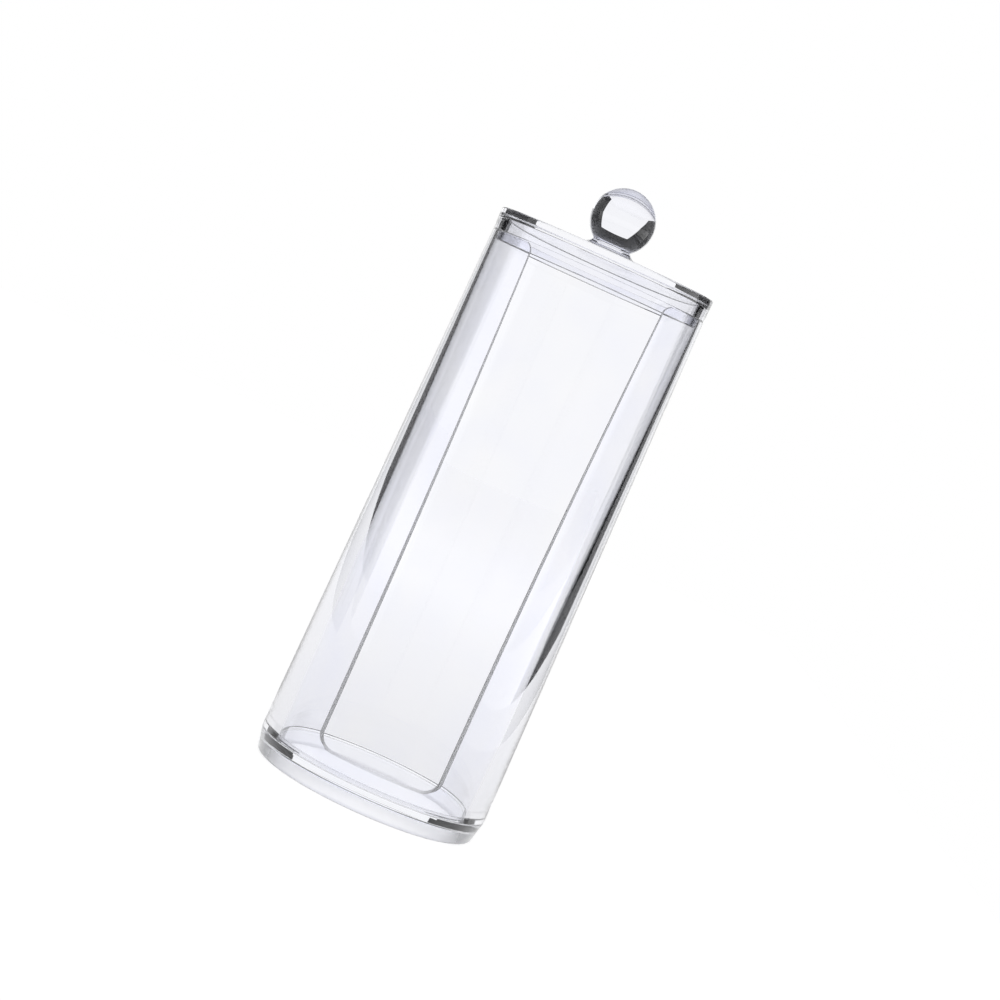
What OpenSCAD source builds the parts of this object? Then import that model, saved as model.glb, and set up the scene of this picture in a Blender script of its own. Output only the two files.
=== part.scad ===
// Clear round holder for cotton swabs and pads.
// A tapered tube with a tall slot in its front stands on a glued foot, and a lift-off lid with a
// ball knob closes it. Z runs up the tube from the plane it stands on, and the slot faces -Y.

/* [Tube] */
// Outer diameter at the tube's bottom end
tube_d_bottom = 70; // [60:0.5:96]
// Outer diameter at the rim, smaller than the bottom by the moulding draft
tube_d_top = 65.6; // [60:0.2:94]
// Height of the tube, from its bottom end to the rim
tube_h = 156.5; // [90:0.5:220]
// Wall thickness at the rim, measured on the radius
wall_rim = 1.55; // [1.2:0.05:2.5]
// Wall thickness at the tube's bottom end, measured on the radius
wall_seat = 5.4; // [2:0.1:7]
// Radius on both edges of the rim
rim_round = 0.4; // [0.1:0.05:0.7]

/* [Front slot] */
// Width of the slot at its sill, where it is narrowest
slot_w = 35.1; // [20:0.1:44]
// How far each side of the slot has bowed outwards where it reaches the rim
slot_bow = 2.5; // [0.5:0.1:4]
// Height of the sill above the tube's bottom end
sill_h = 4.9; // [3:0.1:40]
// Radius in the two lower corners of the slot
slot_corner_r = 4; // [1:0.25:8]
// Radius where the slot's sides flare out into the rim
slot_mouth_r = 3; // [0.5:0.25:4]

/* [Foot] */
// Height of the foot, from the ground to the seat of the tube
foot_h = 7.2; // [5:0.1:14]
// Thickness of the floor plate at the seat
floor_t = 2.4; // [1.5:0.1:4]
// How much the foot's side leans in from the seat to the ground, on the radius
foot_lean = 1.5; // [0.2:0.1:2]
// Radius of the foot's lower outer edge
foot_edge_r = 1.2; // [0.5:0.1:2.5]
// Width of the standing ring, from the lean of the side to the hollow
foot_ring_w = 4.1; // [3:0.1:8]
// Radius in the corner of the hollow under the floor
foot_hollow_r = 0.8; // [0.2:0.1:1.5]
// Radius on the outer edges of tube and foot where they meet
seam_round = 0.3; // [0.1:0.05:0.5]
// Height of the raised floor that centres the tube
spigot_h = 0.6; // [0.5:0.1:2.5]
// Gap between the raised floor and the inside of the tube
spigot_gap = 0.4; // [0.1:0.05:0.8]
// Radius of the raised floor's upper edge
spigot_edge_r = 0.3; // [0.1:0.05:0.4]

/* [Lid] */
// Thickness of the lid's top plate
lid_plate_t = 2.5; // [1.5:0.1:5]
// Height of the ring that stands on the rim, below the plate
lid_ring_h = 4; // [2:0.1:8]
// How far the top of the lid reaches past the rim, on the radius
lid_proud = 0.2; // [0:0.05:1]
// How much the side of the lid leans in from its top to the rim, on the radius
lid_lean = 0.25; // [0:0.05:0.6]
// Radius of the lid's upper edge
lid_edge_r = 0.5; // [0.2:0.1:1]
// Radius in the corner of the hollow under the plate
lid_hollow_r = 0.3; // [0.2:0.1:1.2]

/* [Plug] */
// Depth of the plug inside the tube
plug_h = 3; // [1.5:0.1:8]
// Gap between the plug and the inside of the rim
plug_gap = 0.3; // [0.2:0.05:0.6]
// Wall thickness of the plug
plug_wall = 2.4; // [1:0.1:4]
// Radius of the plug's outer lower edge
plug_edge_r = 0.5; // [0.1:0.05:0.8]

/* [Knob] */
// Diameter of the ball
ball_d = 18.9; // [14:0.1:26]
// Height of the ball's centre above the lid
ball_lift = 10.2; // [9.5:0.05:15]
// Diameter of the neck under the ball
neck_d = 10.6; // [7:0.1:12]
// Diameter of the foot that is glued to the lid
knob_foot_d = 17.6; // [14:0.1:24]
// Thickness of that foot at its edge
knob_foot_t = 0.8; // [0.5:0.1:1.5]

/* [Hidden] */
$fn = 96;
// Steps round a small arc, where fewer than $fn will do
small_arc_fn = 48;
// Clear plastic, with the faint cool tint that its thick edges show
clear = [0.91, 0.92, 0.97, 0.45];

// Heights above the ground
seat_z = foot_h;
rim_z = seat_z + tube_h;
sill_z = seat_z + sill_h;
plate_z = rim_z + lid_ring_h;
lid_z = plate_z + lid_plate_t;
plug_z = rim_z - plug_h;

// Radii of the tube, inside and out, at its two ends
tube_r0 = tube_d_bottom / 2;
tube_r1 = tube_d_top / 2;
bore_r0 = tube_r0 - wall_seat;
bore_r1 = tube_r1 - wall_rim;

// Radii of the foot
ground_r = tube_r0 - foot_lean;
foot_hollow_edge = ground_r - foot_ring_w;
spigot_r = bore_r0 - spigot_gap;

// Radii of the lid
lid_r = tube_r1 + lid_proud;
lid_ring_r = lid_r - lid_lean;
plug_r = bore_r1 - plug_gap;
lid_hollow_edge = plug_r - plug_wall;

// Radius of the sweep from the neck out to the knob's foot
flare_r = (knob_foot_d - neck_d) / 2;
// How far the slot's cutter runs past the tube
past = 2;

function unit(v) = v / norm(v);
function turn(a, p, b) = cross(p - a, b - p);
function half_angle(a, p, b) = acos(unit(a - p) * unit(b - p)) / 2;
// Distance from a corner to where an arc of radius r leaves each side
function reach(a, p, b, r) = r / tan(half_angle(a, p, b));
// Centre of the arc of radius r that touches both sides of a corner
function arc_centre(a, p, b, r) =
    p + unit(unit(a - p) + unit(b - p)) * r / sin(half_angle(a, p, b));

// A closed outline, anticlockwise, with a true arc at each corner that has a radius
module rounded_outline(p, radii) {
    n = len(p);
    before = function(i) p[(i + n - 1) % n];
    after = function(i) p[(i + 1) % n];
    difference() {
        union() {
            polygon([
                for (i = [0 : n - 1])
                    let (d = radii[i] > 0 ? reach(before(i), p[i], after(i), radii[i]) : 0)
                    each d > 0
                        ? [p[i] + unit(before(i) - p[i]) * d, p[i] + unit(after(i) - p[i]) * d]
                        : [p[i]]
            ]);
            for (i = [0 : n - 1])
                if (radii[i] > 0 && turn(before(i), p[i], after(i)) > 0)
                    translate(arc_centre(before(i), p[i], after(i), radii[i]))
                        circle(r = radii[i], $fn = small_arc_fn);
        }
        for (i = [0 : n - 1])
            if (radii[i] > 0 && turn(before(i), p[i], after(i)) < 0)
                translate(arc_centre(before(i), p[i], after(i), radii[i]))
                    circle(r = radii[i], $fn = small_arc_fn);
    }
}

// Opening in the front: round in its lower corners, its sides bowed outwards in a few straight
// lengths that each lean more than the one below, and flared at the rim
module slot() {
    half = slot_w / 2;
    // Number of straight lengths that make up a side
    lengths = 4;
    mouth = half + slot_bow;
    flare = mouth + 2 * slot_mouth_r;
    above = rim_z + past;
    rise = rim_z - sill_z;
    kinks = [
        for (i = [1 : lengths - 1])
            [half + slot_bow * pow(i / lengths, 2), sill_z + rise * i / lengths]
    ];
    straight = [for (k = kinks) 0];
    right = concat([[half, sill_z]], kinks, [[mouth, rim_z], [flare, rim_z], [flare, above]]);
    right_radii = concat([slot_corner_r], straight, [slot_mouth_r, 0, 0]);
    last = len(right) - 1;
    left = [for (i = [last : -1 : 0]) [-right[i][0], right[i][1]]];
    left_radii = [for (i = [last : -1 : 0]) right_radii[i]];
    rotate([90, 0, 0])
        linear_extrude(height = tube_r0 + past)
            rounded_outline(concat(right, left), concat(right_radii, left_radii));
}

// One moulding: a drafted tube, open at both ends, with the slot cut through its front
module tube() {
    color(clear)
        difference() {
            rotate_extrude()
                rounded_outline(
                    [[bore_r0, seat_z], [tube_r0, seat_z], [tube_r1, rim_z], [bore_r1, rim_z]],
                    [0, seam_round, rim_round, rim_round]
                );
            slot();
        }
}

// One moulding: floor plate, standing ring below it and a raised floor that centres the tube
module base() {
    floor_under = foot_h - floor_t;
    color(clear)
        rotate_extrude()
            rounded_outline(
                [
                    [0, floor_under],
                    [foot_hollow_edge, floor_under],
                    [foot_hollow_edge, 0],
                    [ground_r, 0],
                    [tube_r0, seat_z],
                    [spigot_r, seat_z],
                    [spigot_r, seat_z + spigot_h],
                    [0, seat_z + spigot_h]
                ],
                [0, foot_hollow_r, 0, foot_edge_r, seam_round, 0, spigot_edge_r, 0]
            );
}

// One moulding: top plate, ring that stands on the rim and plug that drops inside it
module lid() {
    color(clear)
        rotate_extrude()
            rounded_outline(
                [
                    [0, plate_z],
                    [lid_hollow_edge, plate_z],
                    [lid_hollow_edge, plug_z],
                    [plug_r, plug_z],
                    [plug_r, rim_z],
                    [lid_ring_r, rim_z],
                    [lid_r, lid_z],
                    [0, lid_z]
                ],
                [0, lid_hollow_r, 0, plug_edge_r, 0, 0, lid_edge_r, 0]
            );
}

// One moulding: solid ball on a short neck that sweeps out to a thin round foot
module knob() {
    color(clear)
        translate([0, 0, lid_z])
            union() {
                translate([0, 0, ball_lift])
                    sphere(d = ball_d);
                rotate_extrude()
                    difference() {
                        square([knob_foot_d / 2, knob_foot_t + flare_r]);
                        translate([knob_foot_d / 2, knob_foot_t + flare_r])
                            circle(r = flare_r);
                    }
            }
}

tube();
base();
lid();
knob();
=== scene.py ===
"""Clear round holder for cotton swabs and pads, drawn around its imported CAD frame.

Four polished acrylic mouldings are modelled as the toolmaker cut them: a drafted tube with a
slot in its front, a foot fixed under it, a lift-off lid, and a solid ball knob fixed on the lid.
What the eye sees of a clear moulding is the room bent by it, so the studio is part of the look: a
white table, a bright backdrop, a lit front and ceiling, and a dim room between them draw the dark
lines that edge the clear walls. Everything is in metres, +Z up, and the slot faces -Y.
"""

import math

import bmesh
import bpy
from mathutils import Matrix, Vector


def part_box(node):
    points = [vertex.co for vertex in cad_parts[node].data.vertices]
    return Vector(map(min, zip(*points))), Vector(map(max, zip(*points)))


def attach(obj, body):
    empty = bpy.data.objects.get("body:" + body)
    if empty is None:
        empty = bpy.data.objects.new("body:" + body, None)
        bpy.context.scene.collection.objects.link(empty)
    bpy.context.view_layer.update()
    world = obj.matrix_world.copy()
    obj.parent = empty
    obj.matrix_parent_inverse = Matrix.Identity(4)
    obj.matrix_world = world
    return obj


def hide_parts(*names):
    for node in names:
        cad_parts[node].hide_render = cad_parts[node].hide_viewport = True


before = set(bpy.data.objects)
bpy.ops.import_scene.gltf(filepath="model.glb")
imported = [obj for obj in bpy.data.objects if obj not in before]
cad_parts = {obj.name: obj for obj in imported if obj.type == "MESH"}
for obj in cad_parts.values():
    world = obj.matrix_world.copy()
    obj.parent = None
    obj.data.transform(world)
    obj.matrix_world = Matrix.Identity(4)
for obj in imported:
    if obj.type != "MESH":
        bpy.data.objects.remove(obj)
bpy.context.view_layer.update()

bl_info = {
    "name": "Clear swab holder",
    "version": (1, 0, 0),
    "blender": (4, 5, 0),
    "location": "View3D > Sidebar > Holder",
    "description": "Builds a clear lidded holder for cotton swabs and pads, with its studio",
    "category": "Object",
}

MM = 0.001
TUBE_LOW, TUBE_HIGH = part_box("tube")
BASE_LOW, BASE_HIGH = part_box("base")
LID_LOW, LID_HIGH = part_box("lid")
KNOB_LOW, KNOB_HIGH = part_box("knob")

# Places that the pieces share, as the frame gives them
SEAT_Z = TUBE_LOW[2]
RIM_Z = TUBE_HIGH[2]
LID_Z = LID_HIGH[2]
FOOT_R = BASE_HIGH[0]
LID_R = LID_HIGH[0]
KNOB_TOP_Z = KNOB_HIGH[2]

# Steps round a full turn: enough that a clear edge bends light without facets
TURN_STEPS = 512
# Steps across a rounded edge
ROUND_STEPS = 6
# How near a ring of edges lies to the place that names it
NEAR = 0.02 * MM
# Film of air under the foot, so that it doesn't look wet
TABLE_GAP = 0.05 * MM
# An edge that turns more than this stays sharp to the eye
SHARP = math.radians(35)
# A face whose normal reaches less than this in a direction doesn't look that way
LEVEL = 0.001
# Material slots of a piece that isn't polished all over, whose slot 0 is the polish
SATIN = 1
HOLLOW = 2

# How far off the room's bright panels are
PANEL_DISTANCE = 1.5
# The bright panels. Each has a left and a right edge, given in degrees to the right of straight
# back (+Y), at the level of the knob and per degree of height, then its lowest and highest degree
# of height and its strength.
PANELS = {
    "backdrop": ((-24, 0.5), (29.9, -0.24), 0, 20, 0.965),
    "foot of the backdrop": ((-24, 0.7), (29.5, 0), -24, 0, 0.965),
    "front": ((112, 0), (276, 0), -24, 1, 1.0),
    "card at the right": ((64, 0), (112, 0), -24, 1, 1.5),
    "upper front": ((64, 0), (276, 0), 1, 58, 0.5),
    "ceiling": ((-180, 0), (180, 0), 58, 90, 0.8),
}
# The table's glow at distances from its middle, as painted light and painted shade: a painted pool
# of light under the clear foot, where it would gather light, and painted shade round it
TABLE_PAINTED_LIGHT_AND_SHADE = (
    (0, 0.93), (0.036, 0.93), (0.046, 0.72), (0.3, 0.79), (0.6, 0.88), (0.8, 0.87), (1, 0.825))
# The front edge of the table, behind the camera
TABLE_FRONT = -1.45


class TubeProps(bpy.types.PropertyGroup):
    top_d: bpy.props.FloatProperty(
        name="Rim diameter", description="Outer diameter of the tube at its rim",
        default=65.6 * MM, unit="LENGTH")
    wall_top: bpy.props.FloatProperty(
        name="Wall at the rim", description="Thickness of the tube's wall at its rim",
        default=1.55 * MM, unit="LENGTH")
    wall_bottom: bpy.props.FloatProperty(
        name="Wall at the foot", description="Thickness of the tube's wall at its bottom end",
        default=5.4 * MM, unit="LENGTH")
    rim_round: bpy.props.FloatProperty(
        name="Rim radius", description="Radius on both edges of the rim",
        default=0.4 * MM, unit="LENGTH")
    seam_round: bpy.props.FloatProperty(
        name="Seam radius", description="Radius on the outer edges where tube and foot meet",
        default=0.3 * MM, unit="LENGTH")
    slot_w: bpy.props.FloatProperty(
        name="Slot width", description="Width of the slot just above its lower corners",
        default=35.1 * MM, unit="LENGTH")
    slot_bow: bpy.props.FloatProperty(
        name="Slot bow", description="How far each side has bowed outwards at the rim",
        default=2.5 * MM, unit="LENGTH")
    sill: bpy.props.FloatProperty(
        name="Sill height", description="Height of the slot's sill above the tube's bottom end",
        default=4.9 * MM, unit="LENGTH")
    corner_r: bpy.props.FloatProperty(
        name="Sill corner radius", description="Radius in the lower corners of the slot",
        default=4.0 * MM, unit="LENGTH")
    mouth_r: bpy.props.FloatProperty(
        name="Mouth radius", description="Radius where the slot's sides flare into the rim",
        default=3.0 * MM, unit="LENGTH")


class FootProps(bpy.types.PropertyGroup):
    floor_t: bpy.props.FloatProperty(
        name="Floor", description="Thickness of the floor plate", default=2.4 * MM, unit="LENGTH")
    lean: bpy.props.FloatProperty(
        name="Lean", description="How much the side leans in towards the ground, on the radius",
        default=1.5 * MM, unit="LENGTH")
    edge_r: bpy.props.FloatProperty(
        name="Lower edge radius", description="Radius of the lower outer edge",
        default=1.2 * MM, unit="LENGTH")
    ring_w: bpy.props.FloatProperty(
        name="Ring width", description="Width of the standing ring from the lean to the hollow",
        default=4.1 * MM, unit="LENGTH")
    hollow_r: bpy.props.FloatProperty(
        name="Hollow radius", description="Radius in the corner of the hollow under the floor",
        default=0.8 * MM, unit="LENGTH")
    spigot_gap: bpy.props.FloatProperty(
        name="Spigot gap", description="Gap between the raised floor and the tube's inside",
        default=0.4 * MM, unit="LENGTH")
    spigot_edge_r: bpy.props.FloatProperty(
        name="Spigot edge radius", description="Radius of the raised floor's upper edge",
        default=0.3 * MM, unit="LENGTH")
    air: bpy.props.FloatProperty(
        name="Air under the tube", description="Film of air that is left where the tube sits",
        default=0.03 * MM, unit="LENGTH")


class LidProps(bpy.types.PropertyGroup):
    plate_t: bpy.props.FloatProperty(
        name="Plate", description="Thickness of the lid's top plate",
        default=2.5 * MM, unit="LENGTH")
    lean: bpy.props.FloatProperty(
        name="Lean", description="How much the side leans in towards the rim, on the radius",
        default=0.25 * MM, unit="LENGTH")
    edge_r: bpy.props.FloatProperty(
        name="Upper edge radius", description="Radius of the lid's upper edge",
        default=0.5 * MM, unit="LENGTH")
    hollow_r: bpy.props.FloatProperty(
        name="Hollow radius", description="Radius in the corner of the hollow under the plate",
        default=0.3 * MM, unit="LENGTH")
    plug_gap: bpy.props.FloatProperty(
        name="Plug gap", description="Gap between the plug and the inside of the rim",
        default=0.3 * MM, unit="LENGTH")
    plug_wall: bpy.props.FloatProperty(
        name="Plug wall", description="Thickness of the plug's wall",
        default=1.3 * MM, unit="LENGTH")
    plug_edge_r: bpy.props.FloatProperty(
        name="Plug edge radius", description="Radius of the plug's outer lower edge",
        default=0.5 * MM, unit="LENGTH")
    air: bpy.props.FloatProperty(
        name="Air under the lid", description="Film of air that parts the loose lid from the rim",
        default=0.03 * MM, unit="LENGTH")


class KnobProps(bpy.types.PropertyGroup):
    ball_d: bpy.props.FloatProperty(
        name="Ball diameter", description="Diameter of the ball", default=18.9 * MM, unit="LENGTH")
    neck_d: bpy.props.FloatProperty(
        name="Neck diameter", description="Diameter of the neck under the ball",
        default=10.6 * MM, unit="LENGTH")
    foot_d: bpy.props.FloatProperty(
        name="Foot diameter", description="Diameter of the foot that is fixed to the lid",
        default=17.6 * MM, unit="LENGTH")
    foot_t: bpy.props.FloatProperty(
        name="Foot thickness", description="Thickness of the knob's foot at its edge",
        default=0.8 * MM, unit="LENGTH")
    air: bpy.props.FloatProperty(
        name="Air under the knob", description="Film of air left between the knob and the lid",
        default=0.03 * MM, unit="LENGTH")


class PlasticProps(bpy.types.PropertyGroup):
    ior: bpy.props.FloatProperty(
        name="Refraction", description="Index of refraction of clear acrylic", default=1.49)
    edge_break: bpy.props.FloatProperty(
        name="Edge break", description="Radius that a mould leaves on an edge called sharp",
        default=0.12 * MM, unit="LENGTH")
    ripple_size: bpy.props.FloatProperty(
        name="Ripple size", description="Size of the slow ripple that the plastic set with",
        default=14 * MM, unit="LENGTH")
    ripple_depth: bpy.props.FloatProperty(
        name="Ripple depth", description="Depth of that ripple",
        default=0.012 * MM, unit="LENGTH")
    streak_size: bpy.props.FloatProperty(
        name="Streak size", description="Length of the duller streaks that a cloth has left",
        default=9 * MM, unit="LENGTH")
    streak_dull: bpy.props.FloatProperty(
        name="Streak dullness", description="Roughness of the dullest streaks", default=0.05)


class StudioProps(bpy.types.PropertyGroup):
    eye: bpy.props.FloatVectorProperty(
        name="Camera place", description="Where the camera stands", size=3,
        default=(-11.7 * MM, -844.9 * MM, 144.1 * MM), subtype="TRANSLATION", unit="LENGTH")
    pitch: bpy.props.FloatProperty(
        name="Camera pitch", description="How far the camera looks down",
        default=math.radians(3.42), subtype="ANGLE")
    yaw: bpy.props.FloatProperty(
        name="Camera turn", description="How far the camera is turned to the right",
        default=math.radians(0.85), subtype="ANGLE")
    roll: bpy.props.FloatProperty(
        name="Camera roll", description="How far the camera is rolled, so that the holder leans",
        default=math.radians(24.35), subtype="ANGLE")
    lens: bpy.props.FloatProperty(
        name="Lens", description="Focal length on a 36 mm sensor, in millimetres", default=106.45)
    table_left: bpy.props.FloatProperty(
        name="Table to the left", description="Reach of the white table to the left",
        default=0.42, unit="LENGTH")
    table_right: bpy.props.FloatProperty(
        name="Table to the right", description="Reach of the white table to the right",
        default=0.26, unit="LENGTH")
    table_back: bpy.props.FloatProperty(
        name="Table to the back", description="Reach of the white table behind the holder",
        default=1.4, unit="LENGTH")
    table_seen: bpy.props.FloatProperty(
        name="Table as seen", description="Light that the table gives off towards the camera",
        default=0.9)
    dim: bpy.props.FloatProperty(
        name="Dim room", description="Light of the room between its panels", default=0.012)


PROPS = {
    "swab_tube": TubeProps,
    "swab_foot": FootProps,
    "swab_lid": LidProps,
    "swab_knob": KnobProps,
    "swab_plastic": PlasticProps,
    "swab_studio": StudioProps,
}


def linear(hex_colour):
    """A hex sRGB colour as the linear one that a shader takes."""
    channels = [int(hex_colour[i:i + 2], 16) / 255 for i in (1, 3, 5)]
    bent = [c / 12.92 if c <= 0.04045 else ((c + 0.055) / 1.055) ** 2.4 for c in channels]
    return (*bent, 1.0)


def add_node(tree, kind, sockets=None, **settings):
    """Adds a node with its settings. A socket is given a value, or another socket to link."""
    node = tree.nodes.new(kind)
    for name, value in settings.items():
        setattr(node, name, value)
    for name, value in (sockets or {}).items():
        if isinstance(value, bpy.types.NodeSocket):
            tree.links.new(value, node.inputs[name])
        else:
            node.inputs[name].default_value = value
    return node


def new_material(name):
    """A material with an empty node tree and its output node."""
    material = bpy.data.materials.new(name)
    material.use_nodes = True
    tree = material.node_tree
    tree.nodes.clear()
    return material, tree, add_node(tree, "ShaderNodeOutputMaterial")


def clear_acrylic(name, tint):
    """Injection-moulded crystal acrylic, polished in the mould.

    Bends light hard, so edges and solid parts turn dark or flash where they look past the
    backdrop, and thick parts keep a faint cool tint. It set with a slow ripple that makes the
    dark lines waver, and wiping has left it a little duller in streaks.
    """
    plastic = bpy.context.scene.swab_plastic
    material, tree, output = new_material(name)
    place = add_node(tree, "ShaderNodeTexCoord").outputs["Object"]
    ripple = add_node(tree, "ShaderNodeTexNoise", {
        "Vector": place, "Scale": 1 / plastic.ripple_size, "Detail": 1.0})
    waves = add_node(tree, "ShaderNodeBump", {
        "Height": ripple.outputs["Fac"], "Strength": 1.0, "Distance": plastic.ripple_depth})
    # Streaks run round the piece, as a cloth does, so the pattern is squeezed upwards
    across = add_node(tree, "ShaderNodeMapping", {"Vector": place, "Scale": (1, 1, 6)})
    streaks = add_node(tree, "ShaderNodeTexNoise", {
        "Vector": across.outputs[0], "Scale": 1 / plastic.streak_size, "Detail": 6.0})
    dull = add_node(tree, "ShaderNodeMapRange", {
        "Value": streaks.outputs["Fac"], "From Min": 0.4, "From Max": 0.75,
        "To Min": 0.0, "To Max": plastic.streak_dull})
    cast = add_node(tree, "ShaderNodeMix", {
        0: ripple.outputs["Fac"], 6: linear(tint), 7: linear("#fefeff")}, data_type="RGBA")
    shader = add_node(tree, "ShaderNodeBsdfPrincipled", {
        "Base Color": cast.outputs[2],
        "Roughness": dull.outputs[0],
        "IOR": plastic.ior,
        "Transmission Weight": 1.0,
        "Normal": waves.outputs[0],
    })
    tree.links.new(shader.outputs["BSDF"], output.inputs["Surface"])
    return material


def satin_acrylic(name, dullness):
    """The same plastic where it isn't polished, so that it spreads the light that meets it."""
    material, tree, output = new_material(name)
    shader = add_node(tree, "ShaderNodeBsdfPrincipled", {
        "Base Color": linear("#fdfdff"),
        "Roughness": dullness,
        "IOR": bpy.context.scene.swab_plastic.ior,
        "Transmission Weight": 1.0,
    })
    tree.links.new(shader.outputs["BSDF"], output.inputs["Surface"])
    return material


def draw_arc(bm, start, centre, angle, steps):
    """Sweeps a vertex about a centre in the XZ plane and returns the arc's last vertex."""
    swept = bmesh.ops.spin(
        bm, geom=[start], cent=centre, axis=(0, 1, 0), dvec=(0, 0, 0),
        angle=angle, steps=steps, use_merge=False, use_duplicate=False)
    return next(v for v in swept["geom_last"] if isinstance(v, bmesh.types.BMVert))


def section(points, closed):
    """A mesh with the half section of a turned piece as a wire, from its (radius, z) points."""
    bm = bmesh.new()
    verts = [bm.verts.new((r, 0, z)) for r, z in points]
    for a, b in zip(verts, verts[1:]):
        bm.edges.new((a, b))
    if closed:
        bm.edges.new((verts[-1], verts[0]))
    return bm


def turn(bm):
    """Turns a half section once round the tube's axis and makes a closed skin of it."""
    bmesh.ops.spin(
        bm, geom=bm.verts[:] + bm.edges[:], cent=(0, 0, 0), axis=(0, 0, 1), dvec=(0, 0, 0),
        angle=2 * math.pi, steps=TURN_STEPS, use_merge=True, use_duplicate=False)
    bmesh.ops.remove_doubles(bm, verts=bm.verts, dist=0.001 * MM)
    bmesh.ops.dissolve_degenerate(bm, edges=bm.edges, dist=0.0001 * MM)
    bmesh.ops.recalc_face_normals(bm, faces=bm.faces)


def ring_edges(bm, radius, z):
    """The edges of the ring that runs round the axis at this radius and height."""
    def on_ring(v):
        return abs(math.hypot(v.co.x, v.co.y) - radius) < NEAR and abs(v.co.z - z) < NEAR
    return [e for e in bm.edges if on_ring(e.verts[0]) and on_ring(e.verts[1])]


def round_edges(bm, edges, radius, steps=ROUND_STEPS):
    """Rounds edges to a radius, as the mould has them."""
    bmesh.ops.bevel(
        bm, geom=edges, offset=radius, offset_type="OFFSET", segments=steps, profile=0.5,
        affect="EDGES", material=-1, clamp_overlap=True)


def show_piece(name, bm, plastics, body, node):
    """Makes the object, smooth to the eye but for its sharp edges, in place of its CAD node."""
    for face in bm.faces:
        face.smooth = True
    for edge in bm.edges:
        edge.smooth = edge.calc_face_angle(math.pi) < SHARP
    mesh = bpy.data.meshes.new(name)
    bm.to_mesh(mesh)
    bm.free()
    for plastic in plastics:
        mesh.materials.append(plastic)
    piece = bpy.data.objects.new(name, mesh)
    bpy.context.scene.collection.objects.link(piece)
    flats = piece.modifiers.new("flats stay flat", "WEIGHTED_NORMAL")
    flats.mode = "FACE_AREA"
    flats.weight = 100
    flats.keep_sharp = True
    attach(piece, body)
    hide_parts(node)
    return piece


def cut_with(bm, cutter):
    """Takes a closed shape out of a mesh and returns what is left as a new mesh."""
    work = []
    for name, shape in (("work", bm), ("cutter", cutter)):
        mesh = bpy.data.meshes.new(name)
        shape.to_mesh(mesh)
        shape.free()
        thing = bpy.data.objects.new(name, mesh)
        bpy.context.scene.collection.objects.link(thing)
        work.append(thing)
    whole, knife = work
    cut = whole.modifiers.new("cut", "BOOLEAN")
    cut.operation = "DIFFERENCE"
    cut.solver = "EXACT"
    cut.object = knife
    bpy.context.view_layer.update()
    result = whole.evaluated_get(bpy.context.evaluated_depsgraph_get())
    left = bmesh.new()
    left.from_mesh(result.to_mesh())
    result.to_mesh_clear()
    for thing in work:
        mesh = thing.data
        bpy.data.objects.remove(thing)
        bpy.data.meshes.remove(mesh)
    return left


def slot_cutter(tube):
    """The shape of the front slot: round in its lower corners, with sides that bow outwards
    from there to the rim and end in a small round mouth."""
    past = 2 * MM
    half = tube.slot_w / 2
    sill_z = SEAT_Z + tube.sill
    bow_z = sill_z + tube.corner_r
    bow_r = ((RIM_Z - bow_z) ** 2 + tube.slot_bow ** 2) / (2 * tube.slot_bow)
    bow_x = half + bow_r
    mouth_z = RIM_Z - tube.mouth_r
    mouth_x = bow_x - math.sqrt((bow_r - tube.mouth_r) ** 2 - (mouth_z - bow_z) ** 2)
    lean = math.asin((mouth_z - bow_z) / (bow_r - tube.mouth_r))
    bm = bmesh.new()
    low = bm.verts.new((half - tube.corner_r, 0, sill_z))
    side = draw_arc(bm, low, (half - tube.corner_r, 0, bow_z), -math.pi / 2, steps=16)
    side = draw_arc(bm, side, (bow_x, 0, bow_z), lean, steps=24)
    side = draw_arc(bm, side, (mouth_x, 0, mouth_z), math.pi / 2 - lean, steps=16)
    top = bm.verts.new((mouth_x, 0, RIM_Z + past))
    middle = bm.verts.new((0, 0, RIM_Z + past))
    bm.edges.new((side, top))
    bm.edges.new((top, middle))
    bmesh.ops.mirror(bm, geom=bm.verts[:] + bm.edges[:], axis="X", merge_dist=0.001 * MM)
    ends = [v for v in bm.verts if abs(v.co.z - sill_z) < NEAR and len(v.link_edges) == 1]
    bm.edges.new(ends)
    bmesh.ops.contextual_create(bm, geom=bm.edges[:])
    grown = bmesh.ops.extrude_face_region(bm, geom=bm.faces[:])
    front = [v for v in grown["geom"] if isinstance(v, bmesh.types.BMVert)]
    bmesh.ops.translate(bm, verts=front, vec=(0, -(FOOT_R + past), 0))
    bmesh.ops.recalc_face_normals(bm, faces=bm.faces)
    return bm


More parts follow.
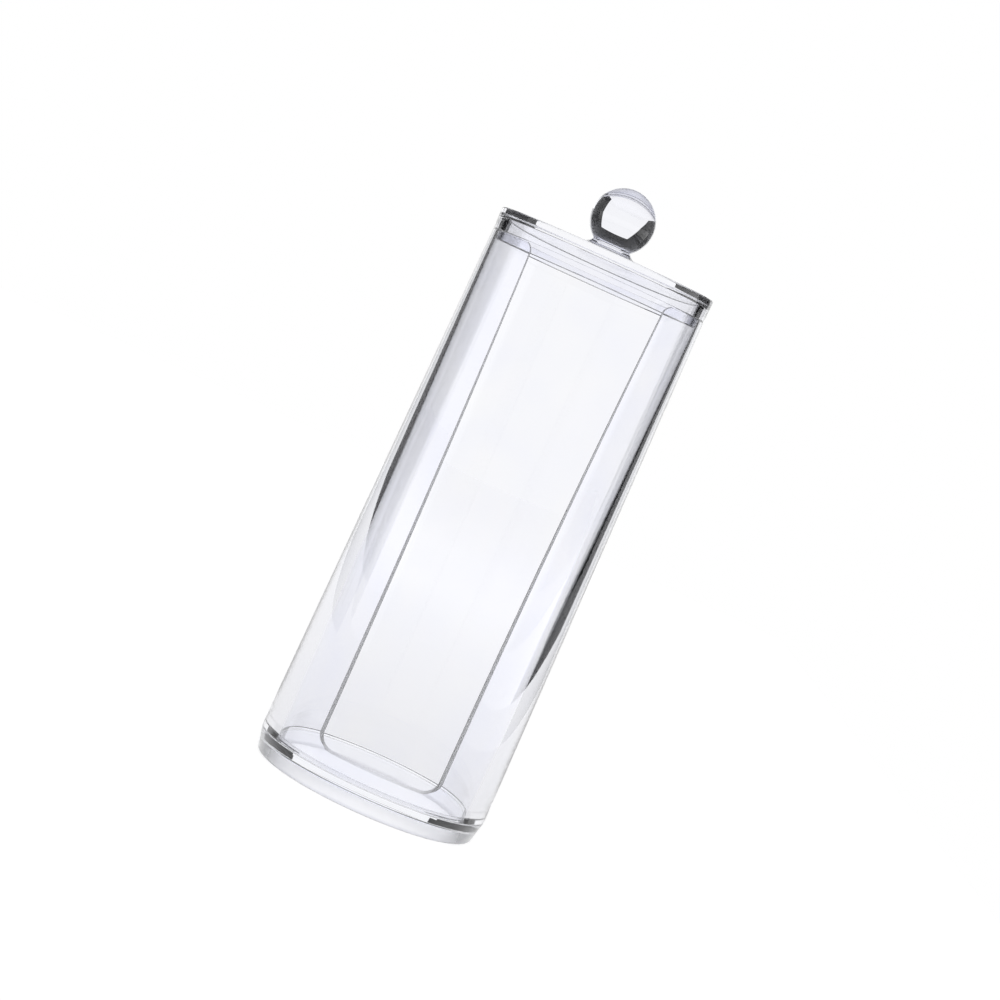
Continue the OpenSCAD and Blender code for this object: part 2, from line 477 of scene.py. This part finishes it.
class SWAB_OT_tube(bpy.types.Operator):
    """Turn the drafted tube, round its rim and cut the slot in its front"""
    bl_idname = "swab.tube"
    bl_label = "Tube"

    def execute(self, context):
        tube = context.scene.swab_tube
        rim_r = tube.top_d / 2
        bm = section([
            (FOOT_R - tube.wall_bottom, SEAT_Z), (FOOT_R, SEAT_Z),
            (rim_r, RIM_Z), (rim_r - tube.wall_top, RIM_Z)], closed=True)
        turn(bm)
        round_edges(bm, ring_edges(bm, FOOT_R, SEAT_Z), tube.seam_round)
        for radius in (rim_r, rim_r - tube.wall_top):
            round_edges(bm, ring_edges(bm, radius, RIM_Z), tube.rim_round)
        bm = cut_with(bm, slot_cutter(tube))
        for face in bm.faces:
            middle = face.calc_center_median()
            in_front = abs(middle.x) < tube.slot_w and middle.y < 0
            in_wall = SEAT_Z + NEAR < middle.z < RIM_Z - NEAR
            # The cut runs straight back, so its faces look neither to the front nor to the back
            cut = abs(face.normal.y) < LEVEL
            if in_front and in_wall and cut:
                face.material_index = SATIN
        plastics = (
            clear_acrylic("moulded clear acrylic, tube", "#f7f8ff"),
            satin_acrylic("satin acrylic, slot edges", 0.9))
        show_piece("tube_clear_wall", bm, plastics, "canister", "tube")
        return {"FINISHED"}


class SWAB_OT_base(bpy.types.Operator):
    """Turn the foot with its floor, standing ring and the raised disc that centres the tube"""
    bl_idname = "swab.base"
    bl_label = "Foot"

    def execute(self, context):
        foot = context.scene.swab_foot
        bore_r = FOOT_R - context.scene.swab_tube.wall_bottom
        edge_break = context.scene.swab_plastic.edge_break
        under = SEAT_Z - foot.floor_t
        ground_r = FOOT_R - foot.lean
        hollow = ground_r - foot.ring_w
        spigot = bore_r - foot.spigot_gap
        raised = BASE_HIGH[2]
        seat_z = SEAT_Z - foot.air
        bm = section([
            (0, under), (hollow, under), (hollow, 0), (ground_r, 0), (FOOT_R, seat_z),
            (spigot, seat_z), (spigot, raised), (0, raised)], closed=False)
        turn(bm)
        round_edges(bm, ring_edges(bm, ground_r, 0), foot.edge_r, steps=12)
        round_edges(bm, ring_edges(bm, hollow, under), foot.hollow_r)
        round_edges(bm, ring_edges(bm, hollow, 0), edge_break, steps=3)
        round_edges(bm, ring_edges(bm, spigot, raised), foot.spigot_edge_r)
        round_edges(bm, ring_edges(bm, FOOT_R, seat_z), context.scene.swab_tube.seam_round)
        for face in bm.faces:
            standing = all(abs(v.co.z) < NEAR for v in face.verts)
            in_hollow = all(
                abs(math.hypot(v.co.x, v.co.y) - hollow) < NEAR and v.co.z < under
                for v in face.verts)
            if standing:
                face.material_index = SATIN
            if in_hollow:
                face.material_index = HOLLOW
        plastics = (
            clear_acrylic("moulded clear acrylic, foot", "#f5f7ff"),
            satin_acrylic("scuffed acrylic, standing face", 0.45),
            satin_acrylic("satin acrylic, wall of the hollow", 0.3))
        show_piece("base_clear_foot", bm, plastics, "canister", "base")
        return {"FINISHED"}


class SWAB_OT_lid(bpy.types.Operator):
    """Turn the lid: top plate, the ring that stands on the rim and the plug inside it"""
    bl_idname = "swab.lid"
    bl_label = "Lid"

    def execute(self, context):
        lid = context.scene.swab_lid
        tube = context.scene.swab_tube
        edge_break = context.scene.swab_plastic.edge_break
        plate_z = LID_Z - lid.plate_t
        plug_z = LID_LOW[2]
        ring_r = LID_R - lid.lean
        plug_r = tube.top_d / 2 - tube.wall_top - lid.plug_gap
        hollow = plug_r - lid.plug_wall
        seat_z = RIM_Z + lid.air
        bm = section([
            (0, plate_z), (hollow, plate_z), (hollow, plug_z), (plug_r, plug_z),
            (plug_r, seat_z), (ring_r, seat_z), (LID_R, LID_Z), (0, LID_Z)], closed=False)
        turn(bm)
        round_edges(bm, ring_edges(bm, LID_R, LID_Z), lid.edge_r)
        round_edges(bm, ring_edges(bm, hollow, plate_z), lid.hollow_r)
        round_edges(bm, ring_edges(bm, plug_r, plug_z), lid.plug_edge_r)
        round_edges(bm, ring_edges(bm, hollow, plug_z), edge_break, steps=3)
        round_edges(bm, ring_edges(bm, ring_r, seat_z), edge_break, steps=3)
        plastics = (clear_acrylic("moulded clear acrylic, lid", "#f7f8ff"),)
        show_piece("lid_clear_plate", bm, plastics, "cover", "lid")
        return {"FINISHED"}


class SWAB_OT_knob(bpy.types.Operator):
    """Turn the solid ball knob with its neck and the sweep out to its foot"""
    bl_idname = "swab.knob"
    bl_label = "Knob"

    def execute(self, context):
        knob = context.scene.swab_knob
        ball_r = knob.ball_d / 2
        neck_r = knob.neck_d / 2
        foot_r = knob.foot_d / 2
        low_z = LID_Z + knob.air
        flare_r = foot_r - neck_r
        ball_z = KNOB_TOP_Z - ball_r
        under_ball = math.asin(neck_r / ball_r)
        bm = bmesh.new()
        top = bm.verts.new((0, 0, KNOB_TOP_Z))
        waist = draw_arc(bm, top, (0, 0, ball_z), math.pi - under_ball, steps=96)
        neck_foot = bm.verts.new((neck_r, 0, LID_Z + knob.foot_t + flare_r))
        bm.edges.new((waist, neck_foot))
        flare_end = draw_arc(
            bm, neck_foot, (foot_r, 0, LID_Z + knob.foot_t + flare_r), -math.pi / 2, steps=16)
        edge = bm.verts.new((foot_r, 0, low_z))
        middle = bm.verts.new((0, 0, low_z))
        bm.edges.new((flare_end, edge))
        bm.edges.new((edge, middle))
        turn(bm)
        plastics = (clear_acrylic("moulded clear acrylic, knob", "#f7f8ff"),)
        show_piece("knob_clear_ball", bm, plastics, "cover", "knob")
        return {"FINISHED"}


class SWAB_OT_studio(bpy.types.Operator):
    """Set up the camera, the white table and the room with its soft panels"""
    bl_idname = "swab.studio"
    bl_label = "Studio"

    def execute(self, context):
        studio = context.scene.swab_studio
        self.camera(context, studio)
        self.table(context, studio)
        self.room(context, studio)
        context.scene.view_settings.view_transform = "Standard"
        context.scene.cycles.max_bounces = 48
        context.scene.cycles.transmission_bounces = 48
        context.scene.cycles.glossy_bounces = 16
        return {"FINISHED"}

    def camera(self, context, studio):
        """The camera at the photograph's place, rolled so that the holder leans to the right."""
        lens = bpy.data.cameras.new("camera")
        lens.sensor_width = 36
        lens.lens = studio.lens
        lens.clip_end = 100
        eye = bpy.data.objects.new("camera", lens)
        turn_right = Matrix.Rotation(-studio.yaw, 4, "Z")
        tilt = Matrix.Rotation(math.pi / 2 - studio.pitch, 4, "X")
        roll = Matrix.Rotation(studio.roll, 4, "Z")
        eye.matrix_world = Matrix.Translation(studio.eye) @ turn_right @ tilt @ roll
        context.scene.collection.objects.link(eye)
        context.scene.camera = eye

    def table(self, context, studio):
        """A white table top, narrow enough that the dim sides of the room show past it in the
        clear walls. Its diffuse part keeps a soft shadow; its glow towards the clear pieces has a
        painted pool of light under the foot and painted shade round it."""
        x0, x1, y0, y1 = -studio.table_left, studio.table_right, TABLE_FRONT, studio.table_back
        bm = bmesh.new()
        corners = [(x0, y0), (x1, y0), (x1, y1), (x0, y1)]
        bm.faces.new([bm.verts.new((x, y, -TABLE_GAP)) for x, y in corners])
        material, tree, output = new_material("white laminate table top")
        diffuse = add_node(tree, "ShaderNodeBsdfDiffuse", {"Color": linear("#9c9c9e")})
        place = add_node(tree, "ShaderNodeTexCoord").outputs["Object"]
        away = add_node(tree, "ShaderNodeVectorMath", {0: place}, operation="LENGTH")
        # Painted light and shade: the glow is raised under the foot and lowered round it by
        # distance alone
        painted_glow = add_node(tree, "ShaderNodeFloatCurve", {"Value": away.outputs["Value"]})
        curve = painted_glow.mapping.curves[0]
        for spot, level in TABLE_PAINTED_LIGHT_AND_SHADE[1:-1]:
            curve.points.new(spot, level)
        for point, (spot, level) in zip(curve.points, TABLE_PAINTED_LIGHT_AND_SHADE):
            point.location = (spot, level)
            point.handle_type = "VECTOR"
        painted_glow.mapping.update()
        # The camera sees an even glow; other rays see the glow with its painted light and shade
        path = add_node(tree, "ShaderNodeLightPath")
        level = add_node(tree, "ShaderNodeMix", {
            0: path.outputs["Is Camera Ray"], 2: painted_glow.outputs[0], 3: studio.table_seen})
        glow = add_node(tree, "ShaderNodeEmission", {
            "Color": linear("#ffffff"), "Strength": level.outputs[0]})
        both = add_node(tree, "ShaderNodeAddShader", {0: diffuse.outputs[0], 1: glow.outputs[0]})
        tree.links.new(both.outputs[0], output.inputs["Surface"])
        self.set_up(context, "table", bm, material)

    def panel(self, context, name, left, right, low, high, strength):
        """A bright panel of the room, bent round the holder, with its edges as PANELS has them."""
        steps = 24
        bm = bmesh.new()
        bmesh.ops.create_grid(bm, x_segments=steps, y_segments=steps, size=0.5)
        for v in bm.verts:
            up = low + (high - low) * (v.co.y + 0.5)
            a = left[0] + left[1] * up
            b = right[0] + right[1] * up
            across = math.radians(a + (b - a) * (v.co.x + 0.5))
            up = math.radians(up)
            v.co = (
                PANEL_DISTANCE * math.cos(up) * math.sin(across),
                PANEL_DISTANCE * math.cos(up) * math.cos(across),
                PANEL_DISTANCE * math.sin(up) + KNOB_TOP_Z)
        bmesh.ops.remove_doubles(bm, verts=bm.verts, dist=1 * MM)
        material, tree, output = new_material("lit panel, " + name)
        # The camera sees it white, so that the picture's background is plain
        path = add_node(tree, "ShaderNodeLightPath")
        level = add_node(tree, "ShaderNodeMix", {
            0: path.outputs["Is Camera Ray"], 2: strength, 3: 1.0})
        glow = add_node(tree, "ShaderNodeEmission", {
            "Color": linear("#ffffff"), "Strength": level.outputs[0]})
        tree.links.new(glow.outputs[0], output.inputs["Surface"])
        self.set_up(context, name, bm, material)

    def set_up(self, context, name, bm, material):
        """Makes a stage object of a mesh."""
        mesh = bpy.data.meshes.new(name)
        bm.to_mesh(mesh)
        bm.free()
        mesh.materials.append(material)
        thing = bpy.data.objects.new(name, mesh)
        context.scene.collection.objects.link(thing)

    def room(self, context, studio):
        """A dim room with its bright panels. The camera sees it white."""
        for name, panel in PANELS.items():
            self.panel(context, name, *panel)
        world = bpy.data.worlds.new("studio room")
        context.scene.world = world
        world.use_nodes = True
        tree = world.node_tree
        tree.nodes.clear()
        output = add_node(tree, "ShaderNodeOutputWorld")
        dim = add_node(tree, "ShaderNodeBackground", {
            "Color": linear("#fafbff"), "Strength": studio.dim})
        white = add_node(tree, "ShaderNodeBackground", {
            "Color": linear("#ffffff"), "Strength": 1.0})
        path = add_node(tree, "ShaderNodeLightPath")
        seen = add_node(tree, "ShaderNodeMixShader", {
            "Fac": path.outputs["Is Camera Ray"], 1: dim.outputs[0], 2: white.outputs[0]})
        tree.links.new(seen.outputs[0], output.inputs["Surface"])


class SWAB_PT_panel(bpy.types.Panel):
    """Buttons for the pieces of the holder and its studio"""
    bl_idname = "SWAB_PT_panel"
    bl_label = "Clear swab holder"
    bl_space_type = "VIEW_3D"
    bl_region_type = "UI"
    bl_category = "Holder"

    def draw(self, context):
        for operator in OPERATORS:
            self.layout.operator(operator.bl_idname)


OPERATORS = (SWAB_OT_studio, SWAB_OT_tube, SWAB_OT_base, SWAB_OT_lid, SWAB_OT_knob)
CLASSES = (*PROPS.values(), *OPERATORS, SWAB_PT_panel)


def register():
    for cls in CLASSES:
        bpy.utils.register_class(cls)
    for name, group in PROPS.items():
        setattr(bpy.types.Scene, name, bpy.props.PointerProperty(type=group))


def unregister():
    for name in PROPS:
        delattr(bpy.types.Scene, name)
    for cls in reversed(CLASSES):
        bpy.utils.unregister_class(cls)


def main():
    register()
    bpy.ops.swab.studio()
    bpy.ops.swab.tube()
    bpy.ops.swab.base()
    bpy.ops.swab.lid()
    bpy.ops.swab.knob()


if __name__ == "__main__":
    main()
